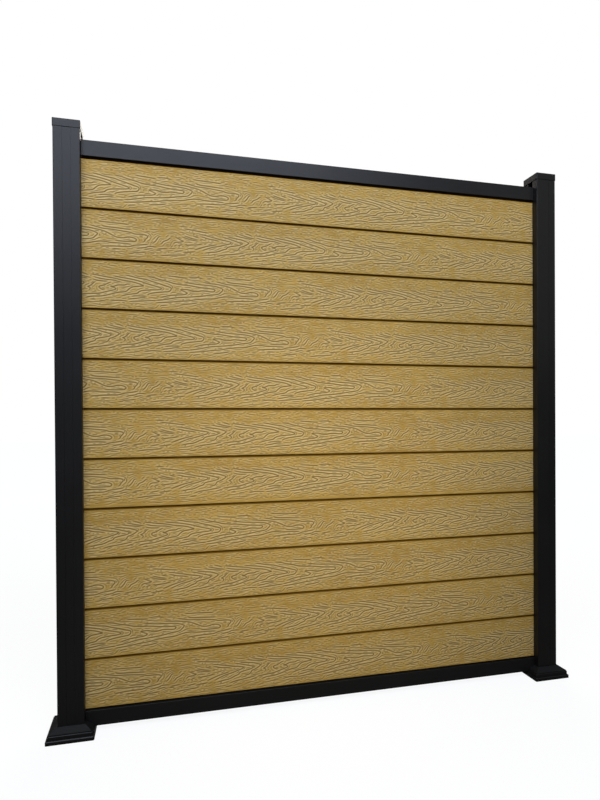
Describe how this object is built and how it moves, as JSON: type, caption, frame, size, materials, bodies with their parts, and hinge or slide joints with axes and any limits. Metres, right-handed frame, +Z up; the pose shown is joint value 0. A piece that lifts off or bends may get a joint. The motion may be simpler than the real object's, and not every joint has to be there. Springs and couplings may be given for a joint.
{
  "type": "garden privacy screen",
  "caption": "Free-standing garden privacy screen bay: tongue-and-groove composite boards between two slotted aluminium posts with top and bottom rails, caps and base covers.",
  "frame": {"origin": "on the ground, midway between the two posts, in the plane of the boards", "axes": "+X along the boards to the right seen from the front, -Y towards the front, +Z up"},
  "size_m": [1.746, 0.134, 1.81],
  "materials": {
    "composite_board": "embossed wood grain, teak-coloured wood-plastic composite",
    "post_extrusion": "matt near-black powder coat",
    "slot_strip": "matt near-black powder coat",
    "rail_extrusion": "matt near-black powder coat",
    "post_cap": "moulded plastic, matt near-black",
    "base_cover": "moulded plastic, fine-textured near-black",
    "base_plate": "hot-dip galvanised",
    "rail_shoe": "glass-filled nylon, black",
    "screws": "stainless steel"
  },
  "bodies": {
    "root": {"board_01": "composite_board", "board_02": "composite_board", "board_03": "composite_board", "board_04": "composite_board", "board_05": "composite_board", "board_06": "composite_board", "board_07": "composite_board", "board_08": "composite_board", "board_09": "composite_board", "board_10": "composite_board", "board_11": "composite_board", "bottom_left_shoe": "rail_shoe", "bottom_rail": "rail_extrusion", "bottom_right_shoe": "rail_shoe", "left_back_strip": "slot_strip", "left_base_cover": "base_cover", "left_base_plate": "base_plate", "left_front_strip": "slot_strip", "left_outer_strip": "slot_strip", "left_post": "post_extrusion", "left_post_cap": "post_cap", "rail_screws": "screws", "right_back_strip": "slot_strip", "right_base_cover": "base_cover", "right_base_plate": "base_plate", "right_front_strip": "slot_strip", "right_outer_strip": "slot_strip", "right_post": "post_extrusion", "right_post_cap": "post_cap", "shoe_screws": "screws", "stub_screws": "screws", "top_left_shoe": "rail_shoe", "top_rail": "rail_extrusion", "top_right_shoe": "rail_shoe"}
  },
  "joints": []
}
